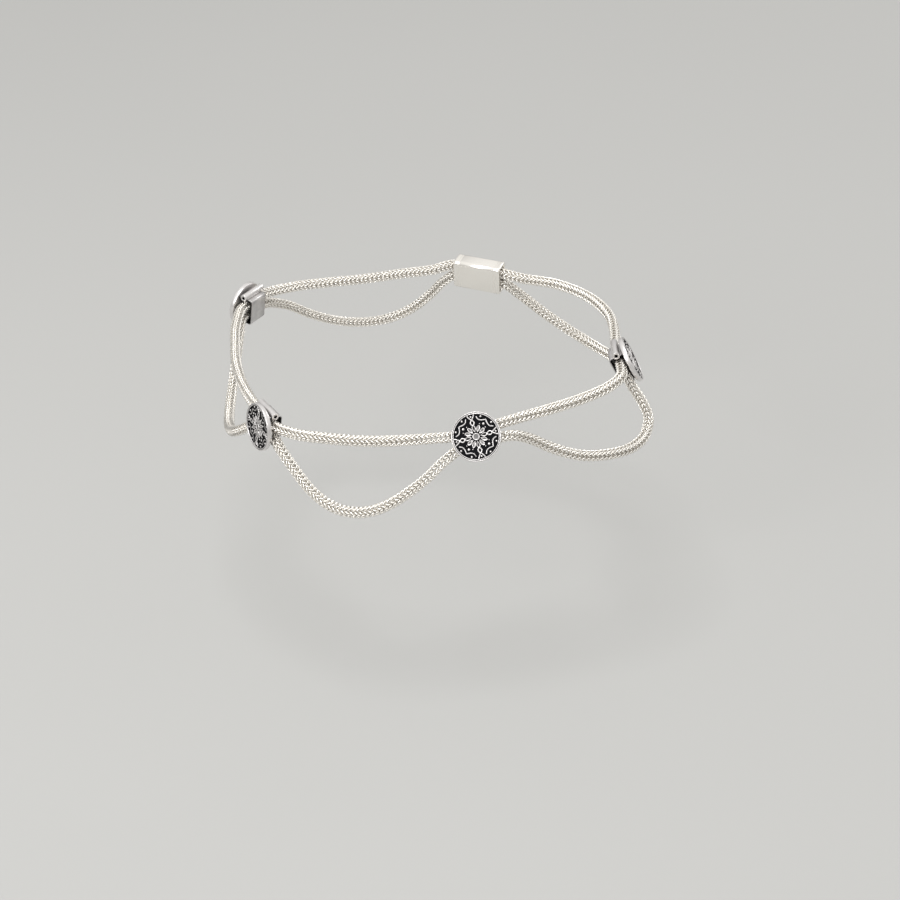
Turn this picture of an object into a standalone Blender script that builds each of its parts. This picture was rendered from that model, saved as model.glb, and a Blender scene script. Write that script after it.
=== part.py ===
"""Silver anklet: two foxtail chains held behind four round rosettes, closed by a plain bar clasp.

Sizes are named in millimetres, and MM turns them into Blender's metres.
+Z runs up the axis of the loop, -Y is its front and +X is to the right.
An azimuth is measured round +Z from the front, positive towards +X.
"""

import bmesh
import bpy
import numpy as np
from mathutils import Matrix

MM = 0.001

# Gaps
CLEARANCE = 0.3
SOLDER = 0.05

# Chains
CHAIN_RADIUS = 1.2
CHAIN_STEP = 7.2
CHAIN_TURN = 50.0
CURVE_SAMPLES = 400

# Rosette drum
ROSETTE_RADIUS = 5.05
DRUM_THICKNESS = 1.0
RIM_WIDTH = 0.55
RIM_CHAMFER = 0.12
BACK_CHAMFER = 0.15
FIELD_DEPTH = 0.35
DRUM_SEGMENTS = 32

# Strap and rolled edge on the back of a rosette
STRAP_WALL = 0.4
STRAP_LENGTH = 5.0
STRAP_CORNER = 0.7
CORNER_STEPS = 3
ROLL_RADIUS = 0.8
ROLL_BORE_RADIUS = 0.33
ROLL_LENGTH = 6.6
ROLL_SETBACK = 1.35
ROLL_SIDES = 12
BORE_SIDES = 8

# Clasp
CLASP_LENGTH = 11.0
CLASP_WALL = 0.6
CLASP_POCKET = 2.5
CLASP_CORNER = 0.9

# Raised ornament: heights above the sunk field
RELIEF_RISE = 0.28
CREST_SHARE = 0.45
RIDGE_WIDTH = 0.26
DOT_RADIUS = 0.24
DOT_SIDES = 6

# Ornament layout, radii as shares of ROSETTE_RADIUS
EYE_RING = 0.14
EYE_SIDES = 12
LEAF_COUNT = 12
LEAF_ROOT = 0.20
LEAF_TIP = 0.42
LEAF_HALF_WIDTH = 0.07
LANCET_GAP = 0.05
LANCET_START = LEAF_TIP + LANCET_GAP
LANCET_LENGTH = 0.20
LANCET_END = LANCET_START + LANCET_LENGTH
LANCET_HALF_WIDTH = 0.065
LANCET_STEPS = 5
AXIS_DOT = LANCET_END + 0.13
DIAGONAL_DOT = LEAF_TIP + 0.16
LOBE_DOT = 0.81
LOBE_DOT_ANGLE = 18.5
QUARTERS = 4
# Half of a two-lobed bracket, from its cusp on the diagonal: degrees off the diagonal, radius share
BRACKET_HALF = (
    (0.0, 0.78),
    (5.0, 0.735),
    (11.0, 0.69),
    (18.0, 0.68),
    (24.0, 0.70),
    (29.0, 0.79),
)

# What carries the strands: centre in mm, then azimuth faced, upward lean and turn in its own plane
HOLDERS = {
    "rosette_back": ((-41.62, 28.55, -5.21), -123.0, 8.0, 0.0),
    "rosette_left": ((-34.32, -23.95, -4.51), -59.0, 8.0, 0.0),
    "rosette_centre": ((10.46, -35.92, 0.94), -5.0, 37.0, 19.0),
    "rosette_right": ((43.19, -10.23, 3.44), 93.0, 28.5, -5.0),
    "clasp": ((11.9, 31.5, 0.6), 159.0, 4.0, 0.0),
}

# Route of the upper chain between its holders: azimuth, radius and height of each free point, in mm
UPPER_ROUTE = {
    ("clasp", "rosette_back"): (
        (178, 33.7, 0.5), (190, 34.9, -0.9), (203, 37.6, -2.4), (214, 41.6, -3.3), (223, 45.8, -3.9),
    ),
    ("rosette_back", "rosette_left"): (
        (-113, 46.2, -4.4), (-102, 43.0, -4.5), (-87.2, 40.6, -4.3), (-73.3, 39.6, -4.0),
    ),
    ("rosette_left", "rosette_centre"): (
        (-44.2, 39.5, -3.1), (-31.7, 37.4, -2.2), (-21.2, 36.1, -1.6), (-10.8, 35.3, -0.9),
        (0.5, 34.3, -0.65),
    ),
    ("rosette_centre", "rosette_right"): (
        (30.4, 35.9, 1.9), (42.9, 37.8, 2.3), (52.4, 40.8, 3.0), (61.0, 43.6, 3.6), (65.7, 44.4, 3.9),
    ),
    ("rosette_right", "clasp"): (
        (84.0, 40.7, 3.1), (90.5, 40.6, 3.0), (102, 40.9, 2.9), (116, 39.9, 2.6), (130, 37.7, 2.1),
        (143, 35.3, 1.4),
    ),
}

# Route of the lower chain, which hangs in a swag between each pair of holders
LOWER_ROUTE = {
    ("clasp", "rosette_back"): (
        (173.5, 34.9, -2.9), (178.5, 36.2, -7.0), (185, 37.4, -11.4), (192.5, 38.8, -14.5),
        (201, 40.7, -15.8), (209.5, 43.2, -15.2), (217, 46.1, -12.8), (222.5, 48.2, -9.8),
    ),
    ("rosette_back", "rosette_left"): (
        (-116.3, 47.3, -9.0), (-110.5, 45.9, -13.2), (-104, 44.7, -16.0), (-96.5, 43.8, -17.4),
        (-88.7, 43.3, -17.3), (-81.5, 43.1, -16.1), (-74.5, 42.9, -13.8), (-68.5, 42.3, -10.9),
        (-64.3, 40.8, -8.5),
    ),
    ("rosette_left", "rosette_centre"): (
        (-46.2, 40.8, -7.8), (-41.2, 40.8, -10.5), (-35.5, 41.1, -13.3), (-29.7, 41.4, -15.1),
        (-24.4, 41.6, -15.7), (-19.5, 41.6, -15.4), (-14.8, 41.4, -14.4), (-9.4, 40.7, -12.4),
        (-4, 39.6, -9.8), (1.6, 38.5, -6.8), (6.2, 37.1, -4.4),
    ),
    ("rosette_centre", "rosette_right"): (
        (27.4, 38.0, -0.2), (34.0, 38.9, -2.1), (38.4, 40.4, -4.2), (42.2, 42.2, -5.8),
        (46.8, 44.5, -7.3), (51.5, 46.6, -8.2), (56.4, 48.6, -8.8), (61.6, 49.9, -9.2),
        (66.4, 50.4, -8.6), (69.6, 50.0, -6.4), (70.5, 48.2, -3.3), (71.0, 45.95, -0.5),
    ),
    ("rosette_right", "clasp"): (
        (84.2, 42.7, -0.7), (89.0, 44.5, -4.8), (96, 45.9, -9.2), (105, 46.2, -11.8), (114, 45.0, -12.8),
        (123, 43.2, -12.3), (131, 41.0, -10.3), (138, 38.6, -7.2), (144.2, 36.4, -3.7),
    ),
}

# Sizes that follow from those above
STRAND_OFFSET = CHAIN_RADIUS + CLEARANCE / 2
CHANNEL_HALF_HEIGHT = STRAND_OFFSET + CHAIN_RADIUS + CLEARANCE
CHANNEL_DEPTH = 2 * (CHAIN_RADIUS + CLEARANCE)
DRUM_BACK = -DRUM_THICKNESS / 2
STRAND_DEPTH = DRUM_BACK - CHANNEL_DEPTH / 2
FIELD_RADIUS = ROSETTE_RADIUS - RIM_WIDTH
FIELD_HEIGHT = DRUM_THICKNESS / 2 - FIELD_DEPTH
ROSETTE_PASS = STRAP_LENGTH / 2 + CLEARANCE
CLASP_PASS = CLASP_LENGTH / 2
CHAIN_END = CLASP_LENGTH / 2 - CLASP_POCKET + CLEARANCE


def clear_scene():
    """Remove whatever the file holds."""
    for item in list(bpy.data.objects):
        bpy.data.objects.remove(item)


def silver(name, colour, roughness):
    """A metal finish with one colour and one roughness."""
    material = bpy.data.materials.new(name)
    material.use_nodes = True
    shader = material.node_tree.nodes["Principled BSDF"]
    shader.inputs["Base Color"].default_value = (*colour, 1.0)
    shader.inputs["Metallic"].default_value = 1.0
    shader.inputs["Roughness"].default_value = roughness
    return material


def holder_axes(name):
    """Centre, direction of the strands, upward direction and outward normal of a holder."""
    centre, faced, lean, turn = HOLDERS[name]
    faced, lean, turn = np.radians((faced, lean, turn))
    outward = np.array((np.sin(faced) * np.cos(lean), -np.cos(faced) * np.cos(lean), np.sin(lean)))
    level = np.array((np.cos(faced), np.sin(faced), 0.0))
    along = level * np.cos(turn) + np.cross(outward, level) * np.sin(turn)
    return np.array(centre), along, np.cross(outward, along), outward


def polar_point(azimuth, radius, height):
    """A point at an azimuth in degrees, a distance from the loop's axis and a height."""
    angle = np.radians(azimuth)
    return np.array((radius * np.sin(angle), -radius * np.cos(angle), height))


def strand_centre(name, side):
    """Middle of a strand where it passes a holder; side is 1 for the upper strand, -1 for the lower."""
    centre, along, up, outward = holder_axes(name)
    depth = 0.0 if name == "clasp" else STRAND_DEPTH
    return centre + side * STRAND_OFFSET * up + depth * outward, along


def smooth_span(points, first_direction, last_direction):
    """Cubic Hermite curve through the points, read at more places where it bends more.

    The slope at an inner point is the mean of its two chords, each weighted by the other's length.
    A step between two readings is CHAIN_STEP long on a straight stretch, or CHAIN_TURN degrees of bend.
    """
    chords = np.diff(points, axis=0)
    lengths = np.linalg.norm(chords, axis=1)
    slopes = chords / lengths[:, None]
    tangents = np.empty_like(points)
    tangents[0] = first_direction
    tangents[-1] = last_direction
    weighted = slopes[:-1] * lengths[1:, None] + slopes[1:] * lengths[:-1, None]
    tangents[1:-1] = weighted / (lengths[1:] + lengths[:-1])[:, None]
    knots = np.concatenate(((0.0,), np.cumsum(lengths)))
    place = np.linspace(0.0, knots[-1], CURVE_SAMPLES)
    cell = np.clip(np.searchsorted(knots, place, side="right") - 1, 0, len(lengths) - 1)
    size = lengths[cell][:, None]
    t = (place - knots[cell])[:, None] / size
    curve = (2 * t**3 - 3 * t**2 + 1) * points[cell] + (t**3 - 2 * t**2 + t) * size * tangents[cell]
    curve += (3 * t**2 - 2 * t**3) * points[cell + 1] + (t**3 - t**2) * size * tangents[cell + 1]
    pieces = np.diff(curve, axis=0)
    runs = np.linalg.norm(pieces, axis=1)
    cosines = np.sum(pieces[1:] * pieces[:-1], axis=1) / (runs[1:] * runs[:-1])
    bends = np.concatenate(((0.0,), np.degrees(np.arccos(np.clip(cosines, -1.0, 1.0)))))
    worth = np.concatenate(((0.0,), np.cumsum(runs / CHAIN_STEP + bends / CHAIN_TURN)))
    stops = np.linspace(0.0, worth[-1], int(round(worth[-1])) + 1)
    return np.stack([np.interp(stops, worth, curve[:, axis]) for axis in range(3)], axis=1)


def chain_points(route, side):
    """Centreline of one chain, from the clasp's far pocket round the loop to its near pocket."""
    points = []
    for (start, finish), free in route.items():
        start_centre, start_along = strand_centre(start, side)
        finish_centre, finish_along = strand_centre(finish, side)
        leave = CLASP_PASS if start == "clasp" else ROSETTE_PASS
        arrive = CLASP_PASS if finish == "clasp" else ROSETTE_PASS
        if start == "clasp":
            points.append(start_centre + CHAIN_END * start_along)
        stops = [start_centre + leave * start_along]
        stops += [polar_point(*entry) for entry in free]
        stops.append(finish_centre - arrive * finish_along)
        points.extend(smooth_span(np.array(stops), start_along, finish_along))
        if finish == "clasp":
            points.append(finish_centre - CHAIN_END * finish_along)
    return np.array(points)


def make_chain(name, route, side, material):
    """A chain as a round tube of its outer size along its centreline."""
    points = chain_points(route, side) * MM
    curve = bpy.data.curves.new(name, "CURVE")
    curve.dimensions = "3D"
    curve.bevel_depth = CHAIN_RADIUS * MM
    curve.bevel_resolution = 2
    curve.render_resolution_u = 0
    curve.use_fill_caps = True
    spline = curve.splines.new("POLY")
    spline.points.add(len(points) - 1)
    spline.points.foreach_set("co", np.column_stack((points, np.ones(len(points)))).ravel())
    curve.materials.append(material)
    chain = bpy.data.objects.new(name, curve)
    bpy.context.scene.collection.objects.link(chain)
    return chain


def mesh_object(name, bm):
    """An object from a bmesh in millimetres, with its faces pointing out."""
    bmesh.ops.recalc_face_normals(bm, faces=bm.faces)
    bmesh.ops.scale(bm, vec=(MM, MM, MM), verts=bm.verts)
    mesh = bpy.data.meshes.new(name)
    bm.to_mesh(mesh)
    bm.free()
    item = bpy.data.objects.new(name, mesh)
    bpy.context.scene.collection.objects.link(item)
    return item


def add_layers(bm, layers, closed):
    """Join rows of points, each as long as the next, with quads; closed joins the last row to the first."""
    rows = [[bm.verts.new(tuple(point)) for point in layer] for layer in layers]
    pairs = list(zip(rows, rows[1:]))
    if closed:
        pairs.append((rows[-1], rows[0]))
    for one, other in pairs:
        for index in range(len(one)):
            following = (index + 1) % len(one)
            bm.faces.new((one[index], one[following], other[following], other[index]))
    if not closed:
        bm.faces.new(rows[0])
        bm.faces.new(rows[-1])


def polygon(radius, sides):
    """Corners of a regular polygon as rows of x, y."""
    angles = np.arange(sides) * 2 * np.pi / sides
    return radius * np.column_stack((np.cos(angles), np.sin(angles)))


def turned(points, angle):
    """Points in the rosette's plane turned round its centre by an angle in degrees."""
    cosine, sine = np.cos(np.radians(angle)), np.sin(np.radians(angle))
    return points @ np.array(((cosine, sine), (-sine, cosine)))


def raise_outline(bm, outline):
    """A low boss on an outline, its crest the outline drawn in towards its middle."""
    middle = outline.mean(axis=0)
    crest = middle + CREST_SHARE * (outline - middle)
    foot_height = np.full((len(outline), 1), FIELD_HEIGHT - SOLDER)
    crest_height = np.full((len(outline), 1), FIELD_HEIGHT + RELIEF_RISE)
    add_layers(bm, (np.hstack((outline, foot_height)), np.hstack((crest, crest_height))), False)


def raise_ridge(bm, path, closed):
    """A ridge with sloping flanks along a path in the rosette's plane."""
    if closed:
        direction = np.roll(path, -1, axis=0) - np.roll(path, 1, axis=0)
    else:
        direction = np.gradient(path, axis=0)
    direction /= np.linalg.norm(direction, axis=1)[:, None]
    across = np.column_stack((-direction[:, 1], direction[:, 0])) * RIDGE_WIDTH / 2
    foot = FIELD_HEIGHT - SOLDER
    crest = FIELD_HEIGHT + RELIEF_RISE
    corners = ((1.0, foot), (CREST_SHARE, crest), (-CREST_SHARE, crest), (-1.0, foot))
    sections = []
    for place, side in zip(path, across):
        sections.append([(*(place + share * side), height) for share, height in corners])
    add_layers(bm, sections, closed)


def make_ornament():
    """All raised ornament of one rosette: eye, leaves, lancets, brackets and dots."""
    bm = bmesh.new()
    raise_ridge(bm, polygon(EYE_RING * ROSETTE_RADIUS, EYE_SIDES), True)
    belly = (LEAF_ROOT + 2 * LEAF_TIP) / 3
    leaf = ROSETTE_RADIUS * np.array((
        (LEAF_ROOT, -LEAF_HALF_WIDTH / 2),
        (belly, -LEAF_HALF_WIDTH),
        (LEAF_TIP, 0.0),
        (belly, LEAF_HALF_WIDTH),
        (LEAF_ROOT, LEAF_HALF_WIDTH / 2),
    ))
    for index in range(LEAF_COUNT):
        raise_outline(bm, turned(leaf, index * 360 / LEAF_COUNT))
    reach = np.linspace(0.0, 1.0, LANCET_STEPS + 1)
    lancet_x = LANCET_START + (LANCET_END - LANCET_START) * reach
    lancet_y = LANCET_HALF_WIDTH * np.sin(np.pi * reach)
    lower = np.column_stack((lancet_x, -lancet_y))
    upper = np.column_stack((lancet_x, lancet_y))[-2:0:-1]
    lancet = ROSETTE_RADIUS * np.vstack((lower, upper))
    half = np.array(BRACKET_HALF)
    spread = np.concatenate((-half[:0:-1, 0], half[:, 0]))
    radii = ROSETTE_RADIUS * np.concatenate((half[:0:-1, 1], half[:, 1]))
    bracket = radii[:, None] * np.column_stack((np.cos(np.radians(spread)), np.sin(np.radians(spread))))
    dot = polygon(DOT_RADIUS, DOT_SIDES)
    axis_dot = dot + (AXIS_DOT * ROSETTE_RADIUS, 0.0)
    diagonal_dot = dot + (DIAGONAL_DOT * ROSETTE_RADIUS, 0.0)
    lobe_dot = dot + (LOBE_DOT * ROSETTE_RADIUS, 0.0)
    for index in range(QUARTERS):
        axis = index * 360 / QUARTERS
        diagonal = axis + 180 / QUARTERS
        raise_ridge(bm, turned(lancet, axis), True)
        raise_outline(bm, turned(axis_dot, axis))
        raise_ridge(bm, turned(bracket, diagonal), False)
        raise_outline(bm, turned(diagonal_dot, diagonal))
        raise_outline(bm, turned(lobe_dot, diagonal - LOBE_DOT_ANGLE))
        raise_outline(bm, turned(lobe_dot, diagonal + LOBE_DOT_ANGLE))
    return mesh_object("ornament", bm)


def make_drum():
    """The turned drum of a rosette: a flat back, a raised rim and a sunk field."""
    front = DRUM_THICKNESS / 2
    profile = (
        (ROSETTE_RADIUS - BACK_CHAMFER, DRUM_BACK),
        (ROSETTE_RADIUS, DRUM_BACK + BACK_CHAMFER),
        (ROSETTE_RADIUS, front - RIM_CHAMFER),
        (ROSETTE_RADIUS - RIM_CHAMFER, front),
        (FIELD_RADIUS + RIM_CHAMFER, front),
        (FIELD_RADIUS, FIELD_HEIGHT),
    )
    bm = bmesh.new()
    rings = []
    for radius, height in profile:
        ring = polygon(radius, DRUM_SEGMENTS)
        rings.append(np.hstack((ring, np.full((DRUM_SEGMENTS, 1), height))))
    add_layers(bm, rings, False)
    return mesh_object("rosette", bm)


def corner_arc(centre, radius, start):
    """Points of a quarter circle from a starting angle in degrees, turning clockwise."""
    angles = np.radians(start - np.linspace(0.0, 90.0, CORNER_STEPS + 1))
    return [(centre[0] + radius * np.cos(a), centre[1] + radius * np.sin(a)) for a in angles]


def make_strap():
    """The strap behind a rosette: a sheet bent to a U round both strands, its feet on the drum."""
    foot = DRUM_BACK + SOLDER
    outline = []
    for wall, turns in ((STRAP_WALL, 1), (0.0, -1)):
        half = CHANNEL_HALF_HEIGHT + wall
        back = DRUM_BACK - CHANNEL_DEPTH - wall
        radius = STRAP_CORNER - STRAP_WALL + wall
        side = [(half, foot)]
        side += corner_arc((half - radius, back + radius), radius, 0.0)
        side += [(-y, z) for y, z in reversed(side)]
        outline += side[::turns]
    bm = bmesh.new()
    ends = [[(x, y, z) for y, z in outline] for x in (-STRAP_LENGTH / 2, STRAP_LENGTH / 2)]
    add_layers(bm, ends, False)
    return mesh_object("strap", bm)


def make_rod(name, radius, length, sides):
    """A rod along the strands, centred on the strap's rolled edge."""
    ring = polygon(radius, sides)
    height = CHANNEL_HALF_HEIGHT + SOLDER + ROLL_RADIUS
    depth = DRUM_BACK - ROLL_SETBACK
    bm = bmesh.new()
    ends = [[(x, height + y, depth + z) for y, z in ring] for x in (-length / 2, length / 2)]
    add_layers(bm, ends, False)
    return mesh_object(name, bm)


def combine(item, tools, name):
    """Mesh of an object after uniting or cutting it with each tool; all of them are then removed."""
    for tool, operation in tools:
        tool.hide_render = True
        tool.display_type = "WIRE"
        step = item.modifiers.new(tool.name, "BOOLEAN")
        step.operation = operation
        step.solver = "EXACT"
        step.object = tool
    view = bpy.context.evaluated_depsgraph_get()
    mesh = bpy.data.meshes.new_from_object(item.evaluated_get(view))
    mesh.name = name
    for used in [item] + [tool for tool, operation in tools]:
        bpy.data.objects.remove(used)
    return mesh


def make_rosette_mesh(material):
    """One rosette as a single soldered body, centred on the middle of its drum."""
    bore_length = ROLL_LENGTH + 2 * CLEARANCE
    tools = (
        (make_ornament(), "UNION"),
        (make_strap(), "UNION"),
        (make_rod("roll", ROLL_RADIUS, ROLL_LENGTH, ROLL_SIDES), "UNION"),
        (make_rod("bore", ROLL_BORE_RADIUS, bore_length, BORE_SIDES), "DIFFERENCE"),
    )
    mesh = combine(make_drum(), tools, "rosette")
    mesh.materials.clear()
    mesh.materials.append(material)
    return mesh


def make_clasp_mesh(material):
    """The clasp: a bar with rounded edges and an open pocket in each end for both strands."""
    half_height = CHANNEL_HALF_HEIGHT + CLASP_WALL
    half_depth = CHANNEL_DEPTH / 2 + CLASP_WALL
    body = rounded_bar("clasp", -CLASP_LENGTH / 2, CLASP_LENGTH / 2, half_height, half_depth, CLASP_CORNER)
    pocket_corner = CLASP_CORNER - CLASP_WALL
    tools = []
    for name, direction in (("pocket_in", -1), ("pocket_out", 1)):
        deep = direction * (CLASP_LENGTH / 2 - CLASP_POCKET)
        mouth = direction * (CLASP_LENGTH / 2 + CLEARANCE)
        low, high = min(deep, mouth), max(deep, mouth)
        pocket = rounded_bar(name, low, high, CHANNEL_HALF_HEIGHT, CHANNEL_DEPTH / 2, pocket_corner)
        tools.append((pocket, "DIFFERENCE"))
    mesh = combine(body, tools, "clasp")
    mesh.materials.clear()
    mesh.materials.append(material)
    return mesh


def rounded_bar(name, start, finish, half_height, half_depth, corner):
    """A bar along the strands whose cross section is a rectangle with round corners."""
    quarters = ((1, 1, 90.0), (1, -1, 0.0), (-1, -1, -90.0), (-1, 1, -180.0))
    outline = []
    for across, deep, angle in quarters:
        centre = (across * (half_height - corner), deep * (half_depth - corner))
        outline += corner_arc(centre, corner, angle)
    bm = bmesh.new()
    add_layers(bm, [[(x, y, z) for y, z in outline] for x in (start, finish)], False)
    return mesh_object(name, bm)


def place(name, mesh):
    """Put a mesh at its holder's place, turned to that holder's axes."""
    centre, along, up, outward = holder_axes(name)
    turn = Matrix(np.column_stack((along, up, outward)).tolist()).to_4x4()
    item = bpy.data.objects.new(name, mesh)
    item.matrix_world = Matrix.Translation((centre * MM).tolist()) @ turn
    bpy.context.scene.collection.objects.link(item)
    return item


def main():
    """Build both chains, the four rosettes and the clasp."""
    clear_scene()
    bright = silver("bright_silver", (0.85, 0.83, 0.80), 0.28)
    oxidised = silver("oxidised_silver", (0.46, 0.45, 0.44), 0.38)
    polished = silver("polished_silver", (0.86, 0.85, 0.83), 0.16)
    make_chain("chain_upper", UPPER_ROUTE, 1, bright)
    make_chain("chain_lower", LOWER_ROUTE, -1, bright)
    rosette = make_rosette_mesh(oxidised)
    for name in HOLDERS:
        if name != "clasp":
            place(name, rosette)
    place("clasp", make_clasp_mesh(polished))


main()
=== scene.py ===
"""Silver anklet: the looks of its two foxtail chains, its four round rosettes and its plain clasp.

Lengths are in metres, and MM turns the millimetres of the lists below into metres.
+Z runs up the axis of the loop, -Y is its front and +X is to the right.
An azimuth is measured round +Z from the front, positive towards +X.
"""

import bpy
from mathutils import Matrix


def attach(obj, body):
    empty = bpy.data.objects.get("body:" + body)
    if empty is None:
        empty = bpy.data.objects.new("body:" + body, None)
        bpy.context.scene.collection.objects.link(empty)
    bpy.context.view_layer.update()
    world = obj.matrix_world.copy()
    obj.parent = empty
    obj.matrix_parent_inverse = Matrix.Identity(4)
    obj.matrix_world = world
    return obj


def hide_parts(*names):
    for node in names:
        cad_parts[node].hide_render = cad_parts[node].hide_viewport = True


bl_info = {
    "name": "Silver anklet",
    "version": (1, 0, 0),
    "blender": (4, 5, 0),
    "location": "View3D > Sidebar > Anklet",
    "description": "Makes the chains, rosettes, clasp and studio of a silver anklet",
    "category": "Add Mesh",
}

import bpy
import numpy as np

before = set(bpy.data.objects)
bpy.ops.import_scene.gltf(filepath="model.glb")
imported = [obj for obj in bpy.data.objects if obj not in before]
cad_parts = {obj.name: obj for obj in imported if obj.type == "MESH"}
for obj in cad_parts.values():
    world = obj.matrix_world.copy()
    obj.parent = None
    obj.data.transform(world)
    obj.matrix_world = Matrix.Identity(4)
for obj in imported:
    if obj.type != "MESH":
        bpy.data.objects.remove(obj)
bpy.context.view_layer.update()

MM = 0.001

# Centre in mm, then azimuth faced, upward lean and turn in its own plane, of what carries the strands
HOLDERS = {
    "rosette_back": ((-41.62, 28.55, -5.21), -123.0, 8.0, 0.0),
    "rosette_left": ((-34.32, -23.95, -4.51), -59.0, 8.0, 0.0),
    "rosette_centre": ((10.46, -35.92, 0.94), -5.0, 37.0, 19.0),
    "rosette_right": ((43.19, -10.23, 3.44), 93.0, 28.5, -5.0),
    "clasp": ((11.9, 31.5, 0.6), 159.0, 4.0, 0.0),
}

# Route of the upper chain between its holders: azimuth, radius and height of each free point, in mm
UPPER_ROUTE = {
    ("clasp", "rosette_back"): (
        (178, 33.7, 0.5), (190, 34.9, -0.9), (203, 37.6, -2.4), (214, 41.6, -3.3), (223, 45.8, -3.9),
    ),
    ("rosette_back", "rosette_left"): (
        (-113, 46.2, -4.4), (-102, 43.0, -4.5), (-87.2, 40.6, -4.3), (-73.3, 39.6, -4.0),
    ),
    ("rosette_left", "rosette_centre"): (
        (-44.2, 39.5, -3.1), (-31.7, 37.4, -2.2), (-21.2, 36.1, -1.6), (-10.8, 35.3, -0.9),
        (0.5, 34.3, -0.65),
    ),
    ("rosette_centre", "rosette_right"): (
        (30.4, 35.9, 1.9), (42.9, 37.8, 2.3), (52.4, 40.8, 3.0), (61.0, 43.6, 3.6), (65.7, 44.4, 3.9),
    ),
    ("rosette_right", "clasp"): (
        (84.0, 40.7, 3.1), (90.5, 40.6, 3.0), (102, 40.9, 2.9), (116, 39.9, 2.6), (130, 37.7, 2.1),
        (143, 35.3, 1.4),
    ),
}

# Route of the lower chain, which hangs in a swag between each pair of holders
LOWER_ROUTE = {
    ("clasp", "rosette_back"): (
        (173.5, 34.9, -2.9), (178.5, 36.2, -7.0), (185, 37.4, -11.4), (192.5, 38.8, -14.5),
        (201, 40.7, -15.8), (209.5, 43.2, -15.2), (217, 46.1, -12.8), (222.5, 48.2, -9.8),
    ),
    ("rosette_back", "rosette_left"): (
        (-116.3, 47.3, -9.0), (-110.5, 45.9, -13.2), (-104, 44.7, -16.0), (-96.5, 43.8, -17.4),
        (-88.7, 43.3, -17.3), (-81.5, 43.1, -16.1), (-74.5, 42.9, -13.8), (-68.5, 42.3, -10.9),
        (-64.3, 40.8, -8.5),
    ),
    ("rosette_left", "rosette_centre"): (
        (-46.2, 40.8, -7.8), (-41.2, 40.8, -10.5), (-35.5, 41.1, -13.3), (-29.7, 41.4, -15.1),
        (-24.4, 41.6, -15.7), (-19.5, 41.6, -15.4), (-14.8, 41.4, -14.4), (-9.4, 40.7, -12.4),
        (-4, 39.6, -9.8), (1.6, 38.5, -6.8), (6.2, 37.1, -4.4),
    ),
    ("rosette_centre", "rosette_right"): (
        (27.4, 38.0, -0.2), (34.0, 38.9, -2.1), (38.4, 40.4, -4.2), (42.2, 42.2, -5.8),
        (46.8, 44.5, -7.3), (51.5, 46.6, -8.2), (56.4, 48.6, -8.8), (61.6, 49.9, -9.2),
        (66.4, 50.4, -8.6), (69.6, 50.0, -6.4), (70.5, 48.2, -3.3), (71.0, 45.95, -0.5),
    ),
    ("rosette_right", "clasp"): (
        (84.2, 42.7, -0.7), (89.0, 44.5, -4.8), (96, 45.9, -9.2), (105, 46.2, -11.8), (114, 45.0, -12.8),
        (123, 43.2, -12.3), (131, 41.0, -10.3), (138, 38.6, -7.2), (144.2, 36.4, -3.7),
    ),
}

# How the strands pass their holders
STRAND_OFFSET = 1.35 * MM
STRAND_DEPTH = -2.0 * MM
ROSETTE_PASS = 2.8 * MM
CLASP_PASS = 5.5 * MM
CHAIN_END = 3.3 * MM
CHAIN_SPARE = 2.0 * MM
SPAN_SAMPLES = 400

# Room for both strands inside a strap or a clasp pocket
CHANNEL_HALF_HEIGHT = 2.85 * MM
CHANNEL_DEPTH = 3.0 * MM
SOLDER = 0.05 * MM

# The rolled edge: its bore, and how far it lies behind the drum's back
ROLL_BORE_RADIUS = 0.33 * MM
ROLL_SETBACK = 1.35 * MM

# One foxtail link in a quarter of its round: out from the chain's middle, across and along, in mm
LINK_QUARTER = (
    (0.48, 0.0, 0.0),
    (0.82, 0.74, 0.76),
    (1.00, 0.22, 1.28),
    (0.93, 0.20, 1.68),
)

# Distances from the chain's middle between which a link goes from painted shade and tarnish to bright
SHADE_AND_TARNISH_INNER = 0.66 * MM
SHADE_AND_TARNISH_OUTER = 1.06 * MM

# Ornament layout, as shares of the drum's radius
EYE_RADIUS = 0.125
EYE_LIP = 0.032
LEAF_ANGLE = np.pi / 6
LEAF_ROOT = 0.155
LEAF_TIP = 0.49
LEAF_HALF_WIDTH = 0.088
LEAF_EDGE = 0.016
LANCET_START = 0.44
LANCET_LENGTH = 0.24
LANCET_HALF_WIDTH = 0.074

# Height shares of the ornament: the eye's floor, and the leaves' floor on the axes and elsewhere
EYE_FLOOR = 0.60
AXIS_LEAF_FLOOR = 0.50
LEAF_FLOOR = 0.58

# Dots: radius share, degrees off the nearest axis, and the dot's own radius share
DOTS = ((0.81, 0.0, 0.05), (0.59, 45.0, 0.062), (0.83, 28.0, 0.054), (0.53, 30.0, 0.034))

# Half of a two-lobed bracket, from its cusp on the diagonal: degrees off the diagonal, radius share
BRACKET_HALF = ((0.0, 0.78), (5.0, 0.735), (11.0, 0.69), (18.0, 0.68), (24.0, 0.70), (29.0, 0.79))

# Arm of the fork that joins a lancet to the rim: along the axis and across it, as radius shares
FORK_ARM = ((0.655, 0.0), (0.72, 0.045), (0.79, 0.095), (0.845, 0.125), (0.895, 0.14))

# The camera: its place in metres, its height above level in degrees and its lens in mm
CAMERA_PLACE = (0.0052, -0.3791, 0.2292)
CAMERA_ELEVATION = 34.0
CAMERA_LENS = 82.2


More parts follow.
